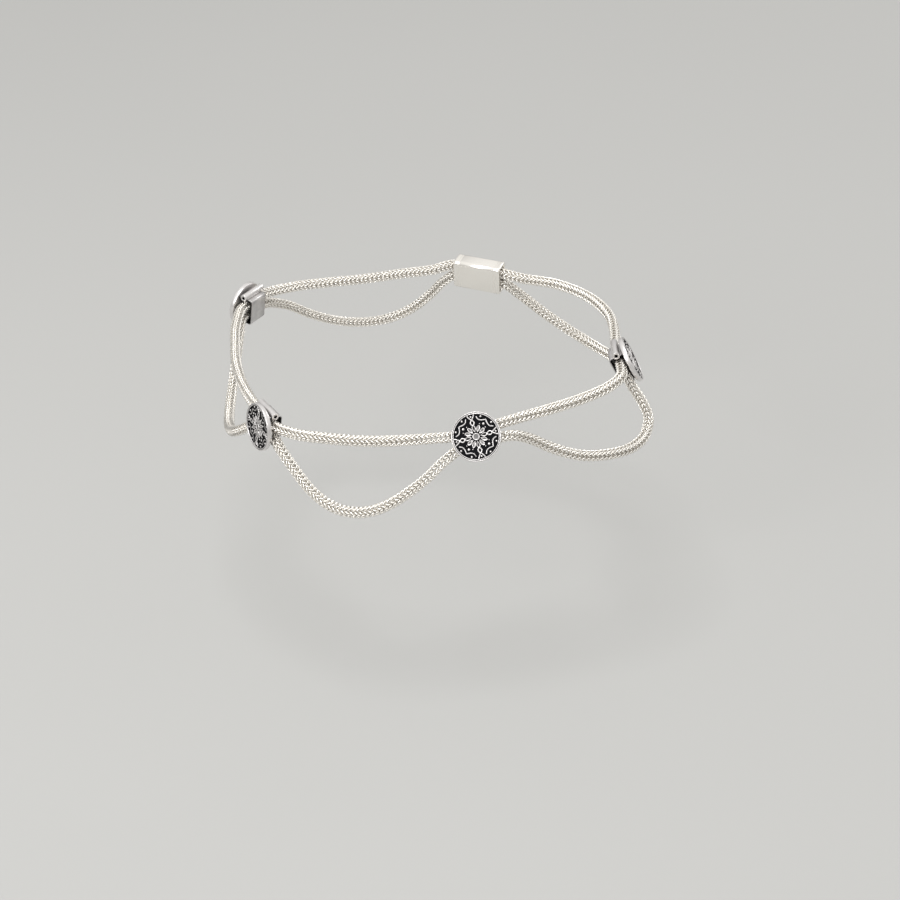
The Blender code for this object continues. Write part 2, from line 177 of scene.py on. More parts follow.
class AnkletChainSettings(bpy.types.PropertyGroup):
    """Sizes of both foxtail chains."""

    wire_diameter: bpy.props.FloatProperty(
        name="Wire", description="Thickness of the link wire", default=0.33 * MM, unit="LENGTH", precision=5
    )
    link_pitch: bpy.props.FloatProperty(
        name="Pitch", description="From one link to the next, which is turned a quarter round",
        default=0.50 * MM, unit="LENGTH", precision=5,
    )
    wire_sides: bpy.props.IntProperty(
        name="Wire sides", description="Flat sides round the link wire", default=5, min=3, max=12
    )
    swag_roll: bpy.props.FloatProperty(
        name="Swag roll", description="How far a swag is rolled at its lowest point", default=0.45,
        subtype="ANGLE",
    )


class AnkletRosetteSettings(bpy.types.PropertyGroup):
    """Sizes of a rosette, its relief, its strap and its rolled edge."""

    radius: bpy.props.FloatProperty(
        name="Radius", description="Radius of the drum", default=5.05 * MM, unit="LENGTH", precision=5
    )
    thickness: bpy.props.FloatProperty(
        name="Thickness", description="Thickness of the drum", default=1.0 * MM, unit="LENGTH", precision=5
    )
    rim_width: bpy.props.FloatProperty(
        name="Rim", description="Width of the grooved rim", default=0.55 * MM, unit="LENGTH", precision=5
    )
    field_depth: bpy.props.FloatProperty(
        name="Field depth", description="How far the field is sunk below the rim", default=0.35 * MM,
        unit="LENGTH", precision=5,
    )
    relief_rise: bpy.props.FloatProperty(
        name="Relief", description="Height of the ornament above the field", default=0.28 * MM,
        unit="LENGTH", precision=5,
    )
    strap_wall: bpy.props.FloatProperty(
        name="Strap sheet", description="Thickness of the strap behind the drum", default=0.4 * MM,
        unit="LENGTH", precision=5,
    )
    strap_length: bpy.props.FloatProperty(
        name="Strap length", description="Length of the strap along the strands", default=5.0 * MM,
        unit="LENGTH", precision=5,
    )
    roll_radius: bpy.props.FloatProperty(
        name="Roll radius", description="Radius of the rolled edge", default=0.8 * MM, unit="LENGTH",
        precision=5,
    )
    roll_length: bpy.props.FloatProperty(
        name="Roll length", description="Length of the rolled edge", default=6.6 * MM, unit="LENGTH",
        precision=5,
    )


class AnkletClaspSettings(bpy.types.PropertyGroup):
    """Sizes of the plain bar clasp."""

    length: bpy.props.FloatProperty(
        name="Length", description="Length of the bar along the strands", default=11.0 * MM, unit="LENGTH",
        precision=5,
    )
    wall: bpy.props.FloatProperty(
        name="Wall", description="Wall round the pockets", default=0.6 * MM, unit="LENGTH", precision=5
    )
    pocket: bpy.props.FloatProperty(
        name="Pocket", description="Depth of the pocket in each end", default=2.5 * MM, unit="LENGTH",
        precision=5,
    )
    corner: bpy.props.FloatProperty(
        name="Corner", description="Radius of the bar's long edges", default=0.9 * MM, unit="LENGTH",
        precision=5,
    )


class AnkletFinishSettings(bpy.types.PropertyGroup):
    """Colours of the silver and of the studio."""

    bright: bpy.props.FloatVectorProperty(
        name="Bright silver", description="Colour of worn bright silver", default=(0.97, 0.94, 0.89),
        subtype="COLOR", size=3, min=0.0, max=1.0,
    )
    rubbed: bpy.props.FloatVectorProperty(
        name="Rubbed silver and painted shade", description="Colour of the relief where it is rubbed",
        default=(0.80, 0.78, 0.775), subtype="COLOR", size=3, min=0.0, max=1.0,
    )
    # Painted shade between the links and inside the clasp's pockets, with some tarnish
    shade_and_tarnish: bpy.props.FloatVectorProperty(
        name="Shade and tarnish", description="Colour of dulled silver between the links", default=(0.90, 0.86, 0.79),
        subtype="COLOR", size=3, min=0.0, max=1.0,
    )
    # Oxide of the blackened field; the same colour paints shade on each rosette's back, inside its strap and
    # in its roll's bore
    oxide_and_shade: bpy.props.FloatVectorProperty(
        name="Oxide and shade", description="Colour of the blackened field", default=(0.012, 0.012, 0.014),
        subtype="COLOR", size=3, min=0.0, max=1.0,
    )
    floor: bpy.props.FloatVectorProperty(
        name="Floor", description="Colour of the studio floor", default=(0.47, 0.47, 0.46),
        subtype="COLOR", size=3, min=0.0, max=1.0,
    )


def unit(vectors):
    """Each vector along the last axis divided by its own length."""
    return vectors / np.linalg.norm(vectors, axis=-1, keepdims=True)


def smooth_step(value, low, high):
    """0 below low, 1 above high and the cubic 3t^2 - 2t^3 of the share t between them."""
    share = np.clip((value - low) / (high - low), 0.0, 1.0)
    return share * share * (3.0 - 2.0 * share)


def outward_of(faced, lean):
    """Unit vectors facing an azimuth and leaning up from level, both angles in degrees."""
    faced, lean = np.radians(faced), np.radians(lean)
    return np.stack((np.sin(faced) * np.cos(lean), -np.cos(faced) * np.cos(lean), np.sin(lean)), axis=-1)


def holder_axes(name):
    """Centre, direction of the strands, upward direction and outward normal of a holder."""
    centre, faced, lean, turn = HOLDERS[name]
    outward = outward_of(faced, lean)
    level = np.array((np.cos(np.radians(faced)), np.sin(np.radians(faced)), 0.0))
    turn = np.radians(turn)
    along = level * np.cos(turn) + np.cross(outward, level) * np.sin(turn)
    return np.array(centre) * MM, along, np.cross(outward, along), outward


def placed(name, local):
    """Points given as along, up and outward from a holder's centre, put in their place."""
    centre, along, up, outward = holder_axes(name)
    return centre + local @ np.stack((along, up, outward))


def polar_points(free):
    """Points from rows of azimuth in degrees, distance from the loop's axis and height in mm."""
    azimuth, radius, height = np.array(free, float).T
    angle = np.radians(azimuth)
    return np.stack((radius * np.sin(angle), -radius * np.cos(angle), height), axis=1) * MM


def strand_centre(name, side):
    """Middle of a strand where it passes a holder; side is 1 for the upper strand, -1 for the lower."""
    depth = 0.0 if name == "clasp" else STRAND_DEPTH
    centre, along, up, outward = holder_axes(name)
    return centre + side * STRAND_OFFSET * up + depth * outward, along


def hermite(points, first_direction, last_direction, samples):
    """Cubic Hermite curve: on each chord h00 p0 + h10 m0 + h01 p1 + h11 m1 of its ends and slopes.

    The slope at an inner point is the mean of its two chords, each weighted by the other's length.
    """
    chords = np.diff(points, axis=0)
    lengths = np.linalg.norm(chords, axis=1)
    slopes = chords / lengths[:, None]
    weighted = slopes[:-1] * lengths[1:, None] + slopes[1:] * lengths[:-1, None]
    inner = weighted / (lengths[1:] + lengths[:-1])[:, None]
    tangents = np.vstack((first_direction, inner, last_direction))
    knots = np.concatenate(((0.0,), np.cumsum(lengths)))
    place = np.linspace(0.0, knots[-1], samples)
    cell = np.clip(np.searchsorted(knots, place, side="right") - 1, 0, len(lengths) - 1)
    size = lengths[cell][:, None]
    t = (place - knots[cell])[:, None] / size
    curve = (2 * t**3 - 3 * t**2 + 1) * points[cell] + (t**3 - 2 * t**2 + t) * size * tangents[cell]
    return curve + (3 * t**2 - 2 * t**3) * points[cell + 1] + (t**3 - t**2) * size * tangents[cell + 1]


def strand_line(route, side, roll, step=0.1 * MM):
    """Even samples along one strand: distance, centre, face direction and sideways direction.

    The faces look along the holders' outward normals, eased from one holder to the next with a cubic,
    and turned about the strand by roll times the squared sine of the share of the way between them.
    The line runs on past each end of the chain by the spare length.
    """
    centres, looks, rolls = [], [], []
    for (start, finish), free in route.items():
        start_centre, start_along = strand_centre(start, side)
        finish_centre, finish_along = strand_centre(finish, side)
        leave = CLASP_PASS if start == "clasp" else ROSETTE_PASS
        arrive = CLASP_PASS if finish == "clasp" else ROSETTE_PASS
        first = start_centre + leave * start_along
        last = finish_centre - arrive * finish_along
        knots = np.vstack((first, polar_points(free), last))
        span = hermite(knots, start_along, finish_along, SPAN_SAMPLES)
        if start == "clasp":
            span = np.vstack((start_centre + (CHAIN_END - CHAIN_SPARE) * start_along, span))
        if finish == "clasp":
            span = np.vstack((span, finish_centre - (CHAIN_END - CHAIN_SPARE) * finish_along))
        share = np.linspace(0.0, 1.0, len(span))
        faced = np.array((HOLDERS[start][1], HOLDERS[finish][1]))
        faced[1] += 360.0 if faced[1] < faced[0] else 0.0
        eased = smooth_step(share, 0.0, 1.0)
        lean = HOLDERS[start][2] + (HOLDERS[finish][2] - HOLDERS[start][2]) * eased
        centres.append(span)
        looks.append(outward_of(faced[0] + (faced[1] - faced[0]) * eased, lean))
        rolls.append(roll * np.sin(np.pi * share) ** 2)
    centres, looks, rolls = np.vstack(centres), np.vstack(looks), np.concatenate(rolls)
    run = np.concatenate(((0.0,), np.cumsum(np.linalg.norm(np.diff(centres, axis=0), axis=1))))
    distance = np.linspace(0.0, run[-1], int(run[-1] / step))
    centre = read_line(distance, run, centres)
    look = read_line(distance, run, looks)
    turn = np.interp(distance, run, rolls)[:, None]
    forward = unit(np.gradient(centre, axis=0))
    face = unit(look - np.sum(look * forward, axis=1, keepdims=True) * forward)
    sideways = np.cross(forward, face)
    rolled = np.cos(turn) * face + np.sin(turn) * sideways
    return distance, centre, rolled, np.cross(forward, rolled)


def read_line(distance, run, values):
    """Rows of values at the given distances, straight between their samples."""
    return np.stack([np.interp(distance, run, values[:, axis]) for axis in range(3)], axis=-1)


def grid_quads(rows, columns, wrap_rows):
    """Corner numbers of each cell of a grid numbered row by row, whose columns close on themselves."""
    row = np.arange(rows if wrap_rows else rows - 1)[:, None]
    column = np.arange(columns)[None, :]
    next_row = (row + 1) % rows
    next_column = (column + 1) % columns
    corners = np.broadcast_arrays(
        row * columns + column, row * columns + next_column, next_row * columns + next_column,
        next_row * columns + column,
    )
    return np.stack(corners, axis=-1).reshape(-1, 4)


def link_template(sides, wire):
    """Surface of one link at the origin: a round profile carried along its closed centre line.

    The profile's first direction is the line from the link's middle to the point, taken square to
    the wire, and its second is their cross product. Returns points as one row for each stop.
    """
    apex, shoulder, leg, foot = np.array(LINK_QUARTER) * MM
    flip_y, flip_x = np.array((1, -1, 1)), np.array((-1, 1, 1))
    half = np.array((apex, shoulder, leg, foot, foot * flip_x, leg * flip_x, shoulder * flip_x))
    line = np.vstack((half, apex * flip_x, (half * flip_y)[:0:-1]))
    forward = unit(np.roll(line, -1, axis=0) - np.roll(line, 1, axis=0))
    spoke = line - (0.0, 0.0, line[:, 2].mean())
    first = unit(spoke - np.sum(spoke * forward, axis=1, keepdims=True) * forward)
    second = np.cross(forward, first)
    angle = np.arange(sides) * 2 * np.pi / sides
    cosine, sine = np.cos(angle)[None, :, None], np.sin(angle)[None, :, None]
    circle = cosine * first[:, None] + sine * second[:, None]
    return line[:, None] + circle * wire / 2


def make_links(route, side, settings):
    """Points, quads and share of painted shade and tarnish of every link of one chain, each bent to the
    strand's line.

    A link's point at x, y, z goes to the line's point z further on, plus x along the face direction
    and y sideways; every second link is first turned a quarter round. The share of painted shade,
    with some tarnish, is 1 at the chain's middle and 0 at its outside.
    """
    distance, centre, face, sideways = strand_line(route, side, settings.swag_roll)
    template = link_template(settings.wire_sides, settings.wire_diameter)
    stops, sides = template.shape[:2]
    flat = template.reshape(-1, 3)
    reach = max(point[2] for point in LINK_QUARTER) * MM + settings.wire_diameter / 2
    usable = distance[-1] - 2 * CHAIN_SPARE - reach - settings.wire_diameter / 2
    count = int(usable / settings.link_pitch)
    starts = CHAIN_SPARE + settings.wire_diameter / 2 + np.arange(count) * usable / count
    odd = (np.arange(count) % 2).astype(bool)[:, None]
    x = np.where(odd, -flat[None, :, 1], flat[None, :, 0])
    y = np.where(odd, flat[None, :, 0], flat[None, :, 1])
    at = starts[:, None] + flat[None, :, 2]
    points = read_line(at, distance, centre)
    points += x[..., None] * read_line(at, distance, face)
    points += y[..., None] * read_line(at, distance, sideways)
    quads = grid_quads(stops, sides, True)[None] + (np.arange(count) * len(flat))[:, None, None]
    radius = np.hypot(flat[:, 0], flat[:, 1])
    shade_and_patina = 1.0 - smooth_step(radius, SHADE_AND_TARNISH_INNER, SHADE_AND_TARNISH_OUTER)
    return points.reshape(-1, 3), quads.reshape(-1, 4), np.tile(shade_and_patina, count)


def path_distance(x, y, path):
    """Distance from each place to the nearest point of an open path of straight pieces."""
    nearest = np.full(x.shape, np.inf)
    for (ax, ay), (bx, by) in zip(path[:-1], path[1:]):
        along_x, along_y = bx - ax, by - ay
        share = ((x - ax) * along_x + (y - ay) * along_y) / (along_x**2 + along_y**2)
        share = np.clip(share, 0.0, 1.0)
        nearest = np.minimum(nearest, np.hypot(x - ax - share * along_x, y - ay - share * along_y))
    return nearest


def crown(distance, half_width):
    """Height share of a rounded ridge: the half circle sqrt(1 - (d / w)^2) of the distance d."""
    return np.sqrt(np.clip(1.0 - (distance / half_width) ** 2, 0.0, 1.0))


def relief(radius, angle, size):
    """Height share of the ornament at polar places: eye, leaves, lancets, forks, brackets and dots.

    Each part is a ridge or a dome on the distance from its own line, and the highest one counts.
    The angle is folded onto one leaf for the leaves, and onto half a quarter for the rest.
    """
    share = radius / size
    height = 0.95 * crown(share - EYE_RADIUS, EYE_LIP)
    height = np.maximum(height, np.where(share < EYE_RADIUS, EYE_FLOOR, 0.0))
    leaf_angle = (angle + LEAF_ANGLE / 2) % LEAF_ANGLE - LEAF_ANGLE / 2
    leaf_x, leaf_y = share * np.cos(leaf_angle), share * np.sin(leaf_angle)
    along = np.clip((leaf_x - LEAF_ROOT) / (LEAF_TIP - LEAF_ROOT), 0.0, 1.0)
    inside = LEAF_HALF_WIDTH * np.sin(np.pi * along**1.25) ** 0.8 - np.abs(leaf_y)
    edge = smooth_step(inside, 0.0, LEAF_EDGE)
    dish = np.where(np.cos(4 * angle) > 0.5, AXIS_LEAF_FLOOR, LEAF_FLOOR)
    lip = np.exp(-(((inside - 0.014) / 0.03) ** 2))
    height = np.maximum(height, edge * (dish + (0.92 - dish) * lip))
    quarter = np.abs((angle + np.pi / 4) % (np.pi / 2) - np.pi / 4)
    x, y = share * np.cos(quarter), share * np.sin(quarter)
    reach = np.linspace(0.0, 1.0, 13)
    swell = LANCET_HALF_WIDTH * np.sin(np.pi * reach)
    lancet = np.column_stack((LANCET_START + LANCET_LENGTH * reach, swell))
    height = np.maximum(height, 0.82 * crown(path_distance(x, y, lancet), 0.038))
    height = np.maximum(height, 0.92 * crown(path_distance(x, y, np.array(FORK_ARM)), 0.036))
    off, out = np.array(BRACKET_HALF).T
    fine = np.linspace(0.0, off[-1], 16)
    curve = np.interp(fine, off, out)
    turned = np.pi / 4 - np.radians(fine)
    bracket = np.column_stack((curve * np.cos(turned), curve * np.sin(turned)))
    height = np.maximum(height, 0.70 * crown(path_distance(x, y, bracket), 0.041))
    for out, off, size_share in DOTS:
        spot = np.hypot(x - out * np.cos(np.radians(off)), y - out * np.sin(np.radians(off)))
        height = np.maximum(height, crown(spot, size_share))
    return height


def polar_grid(radii, heights, columns):
    """Points of rings about the outward axis, with a height for each place, in rows of columns."""
    angle = np.arange(columns) * 2 * np.pi / columns
    shape = (len(radii), columns)
    out = np.broadcast_to(radii[:, None], shape)
    high = np.broadcast_to(heights, shape)
    return np.stack((out * np.cos(angle), out * np.sin(angle), high), axis=-1)


def capped(points, shade_and_patina, first, last):
    """Points, quads, triangles and share of painted shade and patina of a grid whose two end rows close onto
    a single point each.
    """
    rows, columns = points.shape[:2]
    flat = np.vstack((points.reshape(-1, 3), first, last))
    quads = grid_quads(rows, columns, False)
    column = np.arange(columns)
    following = (column + 1) % columns
    lower = np.stack((following, column, np.full(columns, rows * columns)), axis=1)
    base = (rows - 1) * columns
    upper = np.stack((base + column, base + following, np.full(columns, rows * columns + 1)), axis=1)
    shares = np.broadcast_to(shade_and_patina, (rows, columns)).ravel()
    return flat, quads, np.vstack((lower, upper)), np.concatenate((shares, shares[:1], shares[-1:]))


def make_drum(settings, columns=352, rings=104):
    """The turned drum from the middle of its back to the middle of its relief.

    Its back, side and grooved rim are one profile spun about the outward axis, and its field is the
    sunk height plus the relief's share of its rise.
    """
    size, front = settings.radius, settings.thickness / 2
    field_radius = size - settings.rim_width
    field_height = front - settings.field_depth
    profile = np.array((
        (0.30 * size, -front), (0.70 * size, -front), (size - 0.16 * MM, -front),
        (size - 0.06 * MM, -front + 0.04 * MM), (size, -front + 0.14 * MM), (size, 0.0),
        (size, front - 0.15 * MM), (size - 0.03 * MM, front - 0.06 * MM),
        (size - 0.09 * MM, front - 0.01 * MM), (size - 0.15 * MM, front),
        (size - 0.20 * MM, front - 0.03 * MM), (size - 0.25 * MM, front - 0.10 * MM),
        (size - 0.31 * MM, front - 0.10 * MM), (size - 0.36 * MM, front - 0.04 * MM),
        (size - 0.42 * MM, front - 0.01 * MM), (size - 0.48 * MM, front - 0.04 * MM),
        (size - 0.52 * MM, front - 0.12 * MM), (field_radius, field_height + 0.06 * MM),
    ))
    # How far each profile point goes to the dark colour, from back to field: painted shade on the drum's
    # back, fading out up its side; darker in the rim's groove; oxide where the rim steps down into the field
    shares = np.array((.5, .5, .4, .3, .2, .15, .1, 0, 0, 0, .3, .75, .75, .3, 0, .15, .7, 1.0))
    body = polar_grid(profile[:, 0], profile[:, 1:], columns)
    radii = np.linspace(field_radius - 0.03 * MM, 0.02 * size, rings)
    angle = np.arange(columns) * 2 * np.pi / columns
    share = relief(radii[:, None], angle[None, :], size)
    field = polar_grid(radii, field_height + settings.relief_rise * share, columns)
    shade_and_patina = np.vstack((
        np.broadcast_to(shares[:, None], (len(shares), columns)),
        1.0 - smooth_step(share, 0.18, 0.90) ** 2,
    ))
    middle = (0.0, 0.0, field_height + EYE_FLOOR * settings.relief_rise)
    return capped(np.concatenate((body, field)), shade_and_patina, (0.0, 0.0, -front), middle)


def make_strap(settings):
    """The strap: a rounded strip section carried along a U path round both strands, feet on the drum."""
    wall = settings.strap_wall
    front = -settings.thickness / 2
    back = front - CHANNEL_DEPTH - wall / 2
    bend = 0.5 * MM
    reach = CHANNEL_HALF_HEIGHT + wall / 2
    turn = np.radians(np.linspace(0.0, 90.0, 7))
    arc_y, arc_z = reach - bend + bend * np.cos(turn), back + bend - bend * np.sin(turn)
    side_y = np.concatenate(((reach, reach), arc_y))
    side_z = np.concatenate(((front + SOLDER, front - 1.4 * MM), arc_z))
    path_y, path_z = np.concatenate((side_y, -side_y[::-1])), np.concatenate((side_z, side_z[::-1]))
    path = np.column_stack((path_y, path_z))
    forward = unit(np.gradient(path, axis=0))
    normal = np.column_stack((-forward[:, 1], forward[:, 0]))
    corner = np.radians(np.arange(16) * 22.5)
    soft = 0.12 * MM
    across = np.sign(np.round(np.cos(corner + 0.01), 3)) * (wall / 2 - soft) + soft * np.cos(corner)
    lengthwise = np.sign(np.round(np.sin(corner + 0.01), 3)) * (settings.strap_length / 2 - soft)
    lengthwise += soft * np.sin(corner)
    points = np.empty((len(path), len(corner), 3))
    points[..., 0] = lengthwise
    points[..., 1:] = path[:, None] + across[None, :, None] * normal[:, None]
    # Painted shade on the strap: its faces towards the strands go far to the dark colour, its outer faces
    # less
    inner = np.broadcast_to(np.where(across > 0, 0.42, 0.85), points.shape[:2])
    ends = [(0.0, *path[index]) for index in (0, -1)]
    return capped(points, inner, *ends)


def make_roll(settings):
    """The rolled edge: a thick ring section spun about its own axis, along the strands."""
    outer, inner, half = settings.roll_radius, ROLL_BORE_RADIUS, settings.roll_length / 2
    soft = 0.1 * MM
    turn = np.radians(np.linspace(0.0, 90.0, 4))
    edge_r, edge_x = outer - soft + soft * np.cos(turn), half - soft + soft * np.sin(turn)
    lip_r, lip_x = inner + soft - soft * np.sin(turn), half - soft + soft * np.cos(turn)
    radii = np.concatenate((edge_r, lip_r, lip_r[::-1], edge_r[::-1]))
    places = np.concatenate((edge_x, lip_x, -lip_x[::-1], -edge_x[::-1]))
    angle = np.arange(40) * 2 * np.pi / 40
    points = np.empty((len(radii), len(angle), 3))
    points[..., 0] = places[:, None]
    points[..., 1] = CHANNEL_HALF_HEIGHT + SOLDER + outer + radii[:, None] * np.cos(angle)
    points[..., 2] = -settings.thickness / 2 - ROLL_SETBACK + radii[:, None] * np.sin(angle)
    # Painted shade: full in the roll's bore, slight on its outside
    shares = np.where(radii < inner + 0.3 * soft, 1.0, 0.25)
    shade_and_patina = np.broadcast_to(shares[:, None], points.shape[:2]).ravel()
    return points.reshape(-1, 3), grid_quads(len(radii), len(angle), True), np.empty((0, 3), int), shade_and_patina


def round_outline(half_height, half_depth, corner, steps=8):
    """Outline of a rectangle with round corners, as rows of up and outward."""
    quarters = ((1, 1, 0.0), (-1, 1, 90.0), (-1, -1, 180.0), (1, -1, 270.0))
    rows = []
    for up, out, start in quarters:
        angle = np.radians(start + np.linspace(0.0, 90.0, steps))
        rows.append(np.column_stack((
            up * (half_height - corner) + corner * np.cos(angle),
            out * (half_depth - corner) + corner * np.sin(angle),
        )))
    return np.vstack(rows)


def make_clasp(settings):
    """The bar from the floor of one pocket, out over its mouth and along the bar, into the other pocket.

    Each row is a rectangle with round corners at one place along the bar; two fine turned lines
    stand near each mouth.
    """
    inner_height, inner_depth, wall = CHANNEL_HALF_HEIGHT, CHANNEL_DEPTH / 2, settings.wall
    half, soft = settings.length / 2, 0.15 * MM
    # The last number of each step is how far it goes to the dark colour: painted shade inside each pocket
    # and at its mouth, and darker in the turned lines
    steps = [(half - settings.pocket, 0.02 * MM, 0.8), (half - settings.pocket + 0.12 * MM, 0.0, 0.7)]
    steps += [(half - soft, 0.0, 0.2), (half, soft, 0.0), (half, wall - soft, 0.0), (half - soft, wall, 0.0)]
    for line in (0.9 * MM, 1.35 * MM):
        steps += [(half - line + 0.09 * MM, wall, 0.0), (half - line, wall - 0.07 * MM, 0.7)]
        steps += [(half - line - 0.09 * MM, wall, 0.0)]
    steps += [(0.05 * MM, wall, 0.0)]
    places = np.array([step[0] for step in steps])
    grows = np.array([step[1] for step in steps])
    shares = np.array([step[2] for step in steps])
    places = np.concatenate((-places, places[::-1]))
    grows = np.concatenate((grows, grows[::-1]))
    shares = np.concatenate((shares, shares[::-1]))
    rows = []
    for place, grow in zip(places, grows):
        corner = max(0.3 * MM, settings.corner - wall + grow)
        outline = round_outline(inner_height + grow, inner_depth + grow, corner)
        rows.append(np.column_stack((np.full(len(outline), place), outline)))
    floor = half - settings.pocket
    return capped(np.array(rows), shares[:, None], (-floor, 0.0, 0.0), (floor, 0.0, 0.0))


def joined(*parts):
    """Several surfaces of points, quads, triangles and share of painted shade and patina as one."""
    offsets = np.concatenate(((0,), np.cumsum([len(part[0]) for part in parts])[:-1]))
    points = np.vstack([part[0] for part in parts])
    quads = np.vstack([part[1] + offset for part, offset in zip(parts, offsets)])
    triangles = np.vstack([part[2] + offset for part, offset in zip(parts, offsets)])
    return points, quads, triangles, np.concatenate([part[3] for part in parts])


def add_piece(name, surface, material, replaced):
    """A smooth mesh object with its share of painted shade and patina on each point, standing for one CAD
    node.
    """
    points, quads, triangles, shade_and_patina = surface
    mesh = bpy.data.meshes.new(name)
    mesh.vertices.add(len(points))
    mesh.vertices.foreach_set("co", points.astype(np.float32).ravel())
    mesh.loops.add(4 * len(quads) + 3 * len(triangles))
    corners = np.concatenate((quads.ravel(), triangles.ravel()))
    mesh.loops.foreach_set("vertex_index", corners.astype(np.int32))
    sizes = np.concatenate((np.full(len(quads), 4), np.full(len(triangles), 3)))
    mesh.polygons.add(len(sizes))
    mesh.polygons.foreach_set("loop_start", (np.cumsum(sizes) - sizes).astype(np.int32))
    mesh.polygons.foreach_set("use_smooth", np.ones(len(sizes), bool))
    mesh.update(calc_edges=True)
    mesh.validate()
    shares = mesh.attributes.new("shade_and_patina", "FLOAT", "POINT")
    shares.data.foreach_set("value", shade_and_patina.astype(np.float32))
    mesh.materials.append(material)
    piece = bpy.data.objects.new(name, mesh)
    bpy.context.scene.collection.objects.link(piece)
    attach(piece, "root")
    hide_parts(replaced)


def group_tree(name, inputs, outputs):
    """A new shader node group with its sockets, and its input and output nodes."""
    tree = bpy.data.node_groups.new(name, "ShaderNodeTree")
    for socket, kind, value in inputs:
        made = tree.interface.new_socket(socket, in_out="INPUT", socket_type=kind)
        if value is not None:
            made.default_value = value
    for socket, kind in outputs:
        tree.interface.new_socket(socket, in_out="OUTPUT", socket_type=kind)
    return tree, tree.nodes.new("NodeGroupInput"), tree.nodes.new("NodeGroupOutput")


def add_node(tree, kind, settings=(), **links):
    """A node with plain settings, whose inputs are set to values or linked to output sockets.

    An input is given by its name with _ for each space, or as _0, _1 or _2 by its number.
    """
    node = tree.nodes.new(kind)
    for key, value in dict(settings).items():
        setattr(node, key, value)
    for key, value in links.items():
        socket = node.inputs[int(key[1:])] if key[0] == "_" else node.inputs[key.replace("_", " ")]
        if isinstance(value, bpy.types.NodeSocket):
            tree.links.new(value, socket)
        else:
            socket.default_value = value
    return node


def scratch_group():
    """Fine handling scratches: noise stretched along two directions, kept where it is narrow."""
    found = bpy.data.node_groups.get("Fine scratches")
    if found:
        return found
    inputs = (("Position", "NodeSocketVector", None), ("Scale", "NodeSocketFloat", 900.0))
    tree, given, made = group_tree("Fine scratches", inputs, (("Height", "NodeSocketFloat"),))
    heights = []
    for turn in ((0.3, 0.2, 0.9), (1.1, 0.7, -0.4)):
        mapping = add_node(tree, "ShaderNodeMapping", Vector=given.outputs["Position"], Rotation=turn,
                           Scale=(0.06, 1.0, 1.0))
        noise = add_node(tree, "ShaderNodeTexNoise", Vector=mapping.outputs["Vector"],
                         Scale=given.outputs["Scale"], Detail=1.0, Roughness=0.5)
        heights.append(add_node(tree, "ShaderNodeMapRange", Value=noise.outputs["Fac"], From_Min=0.60,
                                From_Max=0.72).outputs["Result"])
    both = add_node(tree, "ShaderNodeMath", {"operation": "MAXIMUM"}, _0=heights[0], _1=heights[1])
    tree.links.new(both.outputs["Value"], made.inputs["Height"])
    return tree


def wear_and_shade_group():
    """Silver that is dark where it is sunk and rubbed bright where it stands proud; its dark share is real
    oxide and tarnish in hollows, and painted shade between links, on backs and in pockets and bores.
    """
    found = bpy.data.node_groups.get("Rubbed silver and painted shade")
    if found:
        return found
    inputs = (
        ("Position", "NodeSocketVector", None), ("Shade and patina", "NodeSocketFloat", 0.0),
        ("Silver", "NodeSocketColor", (0.9, 0.9, 0.9, 1.0)),
        ("Dark", "NodeSocketColor", (0.1, 0.1, 0.1, 1.0)),
        ("Silver roughness", "NodeSocketFloat", 0.2), ("Dark roughness", "NodeSocketFloat", 0.5),
        ("Patch scale", "NodeSocketFloat", 400.0),
    )
    outputs = (("Color", "NodeSocketColor"), ("Roughness", "NodeSocketFloat"), ("Sunk", "NodeSocketFloat"))
    tree, given, made = group_tree("Rubbed silver and painted shade", inputs, outputs)
    patch = add_node(tree, "ShaderNodeTexNoise", Vector=given.outputs["Position"],
                     Scale=given.outputs["Patch scale"], Detail=3.0, Roughness=0.6)
    shift = add_node(tree, "ShaderNodeMath", {"operation": "MULTIPLY_ADD"}, _0=patch.outputs["Fac"], _1=0.4,
                     _2=-0.2)
    moved = add_node(tree, "ShaderNodeMath", {"operation": "ADD"}, _0=given.outputs["Shade and patina"],
                     _1=shift.outputs["Value"])
    sunk = add_node(tree, "ShaderNodeMapRange", {"interpolation_type": "SMOOTHSTEP"},
                    Value=moved.outputs["Value"], From_Min=0.2, From_Max=0.85)
    colour = add_node(tree, "ShaderNodeMix", {"data_type": "RGBA"})
    tree.links.new(sunk.outputs["Result"], colour.inputs["Factor"])
    tree.links.new(given.outputs["Silver"], colour.inputs[6])
    tree.links.new(given.outputs["Dark"], colour.inputs[7])
    rough = add_node(tree, "ShaderNodeMapRange", Value=sunk.outputs["Result"],
                     To_Min=given.outputs["Silver roughness"], To_Max=given.outputs["Dark roughness"])
    dulled = add_node(tree, "ShaderNodeMath", {"operation": "MULTIPLY_ADD"}, _0=patch.outputs["Fac"],
                      _1=0.12, _2=rough.outputs["Result"])
    tree.links.new(colour.outputs[2], made.inputs["Color"])
    tree.links.new(dulled.outputs["Value"], made.inputs["Roughness"])
    tree.links.new(sunk.outputs["Result"], made.inputs["Sunk"])
    return tree


